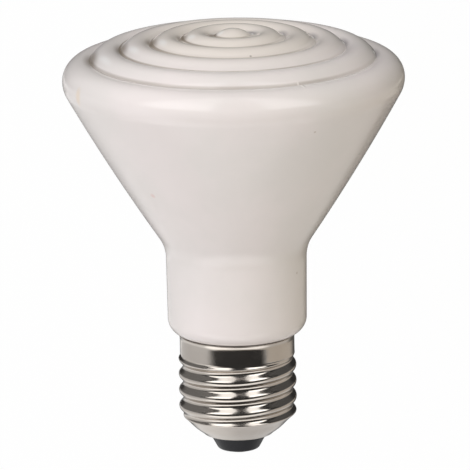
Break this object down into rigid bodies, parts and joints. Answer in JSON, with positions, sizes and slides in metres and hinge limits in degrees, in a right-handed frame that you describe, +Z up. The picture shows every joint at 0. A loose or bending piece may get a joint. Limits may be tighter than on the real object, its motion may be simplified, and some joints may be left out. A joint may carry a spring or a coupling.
{
  "type": "ceramic heat emitter",
  "caption": "Screw-in ceramic heat emitter: glazed ringed face on a conical body that narrows to a collar, over a nickel screw cap with a black glass tip.",
  "frame": {"origin": "tip of the centre contact, on the axis", "axes": "+Z up the axis from the contact to the ringed face; the camera of the picture looks from -Y"},
  "size_m": [0.0754, 0.0754, 0.0966],
  "materials": {
    "glazed_ceramic": "glossy glaze",
    "resistance_wire": "oxidised",
    "refractory_cement": "matt",
    "lead_wire": "drawn",
    "sleeve_ceramic": "matt",
    "cap_cement": "matt",
    "nickel_plate": "bright nickel plate",
    "black_glass": "opaque black",
    "contact_brass": "stamped",
    "solder": "satin"
  },
  "bodies": {
    "root": {"ceramic_body": "glazed_ceramic", "heating_coil": "resistance_wire", "element_cover": "refractory_cement", "lead_contact": "lead_wire", "lead_shell": "lead_wire", "sleeve_contact_lead": "sleeve_ceramic", "sleeve_shell_lead": "sleeve_ceramic", "cap_cement": "cap_cement", "screw_shell": "nickel_plate", "glass_insulator": "black_glass", "centre_contact": "contact_brass", "contact_solder": "solder"}
  },
  "joints": []
}
